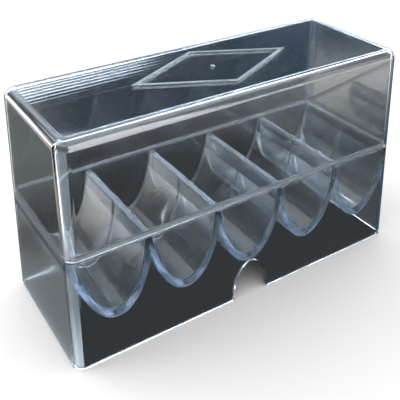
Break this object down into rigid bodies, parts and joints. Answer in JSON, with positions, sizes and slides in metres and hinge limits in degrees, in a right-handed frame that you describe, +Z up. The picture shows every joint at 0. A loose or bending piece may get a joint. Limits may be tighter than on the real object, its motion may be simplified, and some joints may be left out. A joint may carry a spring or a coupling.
{
  "type": "poker chip case",
  "caption": "Clear moulded poker chip rack with round-bottomed rows, a half-way rib in each row and finger notches in its skirt, under a lift-off box lid with a raised rhombus line.",
  "frame": {"origin": "on the table, under the middle of the case", "axes": "+X along the case, across the rows; -Y is the front; +Z up, the way the lid lifts"},
  "size_m": [0.2296, 0.089, 0.1328],
  "materials": {
    "rack_plastic": "clear, glossy",
    "lid_plastic": "clear, glossy"
  },
  "bodies": {
    "rack": {"chip_rack": "rack_plastic"},
    "lid": {"lid": "lid_plastic"}
  },
  "joints": [
    {"name": "lid_lift", "type": "slide", "parent": "rack", "child": "lid", "axis": [0, 0, 1], "range_m": [0, 0.09]}
  ]
}
